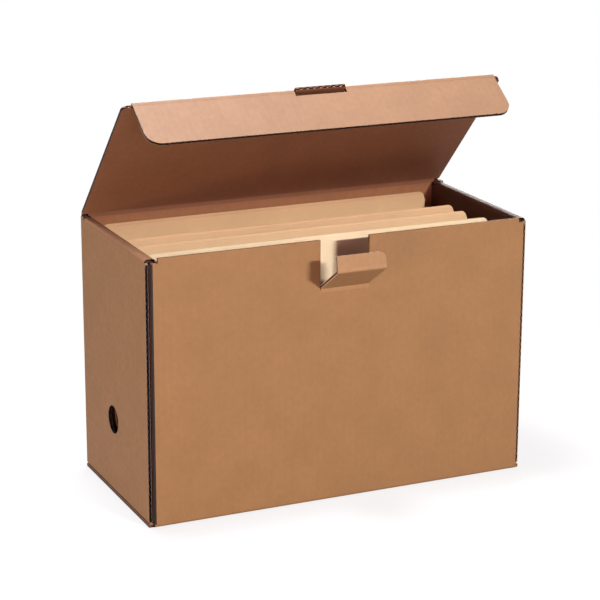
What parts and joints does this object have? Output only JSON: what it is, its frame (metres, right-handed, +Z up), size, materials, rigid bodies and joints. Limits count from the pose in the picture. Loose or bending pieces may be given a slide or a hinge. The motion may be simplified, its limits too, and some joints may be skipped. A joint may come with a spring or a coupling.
{
  "type": "portable file box",
  "caption": "Portable corrugated file box with a hinged tuck-in lid, a front lock flap, double end walls, a finger hole and upright folders inside.",
  "frame": {"origin": "on the base's underside, midway between the long walls' ends, on the ground", "axes": "+X along the length to the end without the finger hole, +Y from the front wall with the lock flap to the back wall with the lid's crease, +Z up"},
  "size_m": [0.373, 0.2092, 0.3714],
  "materials": {
    "kraft_board": "matt",
    "manila_card": "matt"
  },
  "bodies": {
    "box": {"base_panel": "kraft_board", "front_wall": "kraft_board", "back_wall": "kraft_board", "left_end_outer_panel": "kraft_board", "right_end_outer_panel": "kraft_board", "left_end_rim": "kraft_board", "right_end_rim": "kraft_board", "left_end_inner_panel": "kraft_board", "right_end_inner_panel": "kraft_board", "front_left_corner_flap": "kraft_board", "front_right_corner_flap": "kraft_board", "back_left_corner_flap": "kraft_board", "back_right_corner_flap": "kraft_board", "rear_folder": "manila_card", "second_folder": "manila_card", "third_folder": "manila_card", "front_folder": "manila_card"},
    "lid": {"lid_panel": "kraft_board"},
    "tuck_flap_body": {"tuck_flap": "kraft_board"},
    "lock_flap_body": {"lock_flap": "kraft_board"},
    "lock_tip_body": {"lock_tip": "kraft_board"}
  },
  "joints": [
    {"name": "lid_hinge", "type": "hinge", "parent": "box", "child": "lid", "pos_m": [0, 0.0855, 0.2468], "axis": [-1, 0, 0], "range_deg": [-46, 134]},
    {"name": "tuck_flap_fold", "type": "hinge", "parent": "lid", "child": "tuck_flap_body", "pos_m": [0, -0.03051, 0.36693], "axis": [1, 0, 0], "range_deg": [-78.8, 27.1]},
    {"name": "lock_flap_fold", "type": "hinge", "parent": "box", "child": "lock_flap_body", "pos_m": [0, -0.0855, 0.2015], "axis": [1, 0, 0], "range_deg": [-57, 43]},
    {"name": "lock_tip_fold", "type": "hinge", "parent": "lock_flap_body", "child": "lock_tip_body", "pos_m": [0, -0.12072, 0.22437], "axis": [-1, 0, 0], "range_deg": [-17.4, 23.1]}
  ],
  "couplings": [
    {"joint": "tuck_flap_fold", "follows": "lid_hinge", "ratio": -0.58696},
    {"joint": "lock_tip_fold", "follows": "lock_flap_fold", "ratio": -0.40351}
  ]
}
